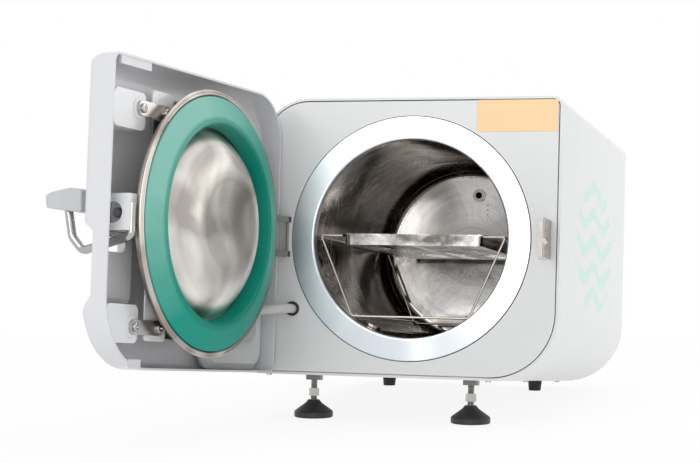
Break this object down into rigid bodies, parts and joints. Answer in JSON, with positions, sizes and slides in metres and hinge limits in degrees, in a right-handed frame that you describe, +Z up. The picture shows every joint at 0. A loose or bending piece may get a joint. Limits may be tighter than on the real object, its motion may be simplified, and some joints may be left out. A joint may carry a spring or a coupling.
{
  "type": "tabletop steam autoclave",
  "caption": "Tabletop steam autoclave with a side-hinged round door, wire rack and tray, latch handle, adjustable front feet and a fill lid.",
  "frame": {"origin": "on the bench, in the middle of the four feet", "axes": "+X to the machine's right seen from the front, +Y to its back, +Z up from the bench; the cabinet leans back 5.1 degrees about X"},
  "size_m": [0.5221, 0.9587, 0.4421],
  "materials": {
    "white_coat": "gloss white powder coat",
    "plain_steel": "brushed stainless steel",
    "chamber_steel": "polished stainless steel, slightly stained",
    "ring_metal": "turned and polished",
    "dish_steel": "satin stainless steel",
    "seal_rubber": "teal silicone, smooth",
    "black_rubber": "matt black",
    "black_plastic": "matt black",
    "white_plastic": "gloss white moulding",
    "grey_plastic": "fine grain grey",
    "chrome": "polished",
    "brass": "machined",
    "blanket": "glass cloth",
    "dark_window": "tinted clear plastic",
    "board": "lacquered circuit board",
    "pump_metal": "dark enamel",
    "tank_plastic": "translucent white"
  },
  "bodies": {
    "cabinet": {"outer_cover": "white_coat", "front_panel": "white_coat", "rear_panel": "white_coat", "base_pan": "plain_steel", "chamber_flange": "ring_metal", "chamber_shell": "chamber_steel", "steam_port": "plain_steel", "temperature_probe": "plain_steel", "heater_bands": "plain_steel", "insulation": "blanket", "chamber_cradles": "plain_steel", "hinge_bracket": "plain_steel", "hinge_pin": "chrome", "latch_strike": "plain_steel", "strike_screws": "chrome", "conduit_grommet": "black_rubber", "door_conduit": "grey_plastic", "foot_blocks": "plain_steel", "rear_feet": "black_rubber", "base_screws": "chrome", "steam_baffle": "plain_steel", "mains_inlet": "black_plastic", "rocker_frame": "black_plastic", "fuse_holders": "black_plastic", "drain_fitting": "brass", "fan_frame": "black_plastic", "condenser": "ring_metal", "steam_pipe": "plain_steel", "safety_valve": "brass", "water_tank": "tank_plastic", "vacuum_pump": "pump_metal", "valve_block": "brass", "control_board": "board", "fill_lid_hinge": "plain_steel"},
    "door": {"door_cover": "white_plastic", "display_window": "dark_window", "key_pad": "grey_plastic", "display_board": "board", "door_arm": "plain_steel", "door_dish": "dish_steel", "dish_nut": "plain_steel", "door_seal": "seal_rubber", "corner_blocks": "white_plastic", "corner_straps": "plain_steel", "strap_screws": "chrome", "latch_bracket": "white_plastic"},
    "handle": {"handle_rod": "chrome", "handle_grip": "grey_plastic"},
    "bolt": {"latch_bolt": "chrome"},
    "rack": {"wire_rack": "plain_steel"},
    "tray": {"tray": "plain_steel"},
    "left_foot": {"left_foot_stud": "chrome", "left_foot_nut": "chrome", "left_foot_pad": "black_plastic"},
    "right_foot": {"right_foot_stud": "chrome", "right_foot_nut": "chrome", "right_foot_pad": "black_plastic"},
    "fan": {"fan_rotor": "black_plastic"},
    "rocker": {"power_rocker": "black_plastic"},
    "lid": {"fill_lid": "white_plastic"}
  },
  "joints": [
    {"name": "door_hinge", "type": "hinge", "parent": "cabinet", "child": "door", "pos_m": [-0.1445, -0.27362, 0.23487], "axis": [0, -0.0893, -0.996], "range_deg": [-100, 0], "deforming": ["door_conduit"]},
    {"name": "handle_turn", "type": "hinge", "parent": "door", "child": "handle", "pos_m": [-0.19364, -0.60279, 0.26438], "axis": [0, 0.0893, 0.996], "range_deg": [-25, 0]},
    {"name": "bolt_slide", "type": "slide", "parent": "door", "child": "bolt", "axis": [0.1736, 0.9809, -0.0879], "range_m": [-0.015, 0]},
    {"name": "rack_slide", "type": "slide", "parent": "cabinet", "child": "rack", "axis": [0, -0.996, 0.0893], "range_m": [-0.002, 0.3]},
    {"name": "tray_slide", "type": "slide", "parent": "rack", "child": "tray", "axis": [0, -0.996, 0.0893], "range_m": [-0.01, 0.26]},
    {"name": "left_foot_height", "type": "slide", "parent": "cabinet", "child": "left_foot", "axis": [0, -0.0893, -0.996], "range_m": [-0.008, 0.01]},
    {"name": "right_foot_height", "type": "slide", "parent": "cabinet", "child": "right_foot", "axis": [0, -0.0893, -0.996], "range_m": [-0.008, 0.01]},
    {"name": "fan_spin", "type": "hinge", "parent": "cabinet", "child": "fan", "pos_m": [-0.1005, 0.28257, 0.28039], "axis": [0, -0.996, 0.0893], "continuous": true},
    {"name": "rocker_tilt", "type": "hinge", "parent": "cabinet", "child": "rocker", "pos_m": [0.1135, 0.28588, 0.06423], "axis": [1, 0, 0], "range_deg": [0, 24]},
    {"name": "fill_lid_hinge_turn", "type": "hinge", "parent": "cabinet", "child": "lid", "pos_m": [0.0895, 0.29336, 0.36607], "axis": [-1, 0, 0], "range_deg": [0, 95]}
  ],
  "couplings": [
    {"joint": "bolt_slide", "follows": "handle_turn", "m_per_rad": 0.034377}
  ]
}
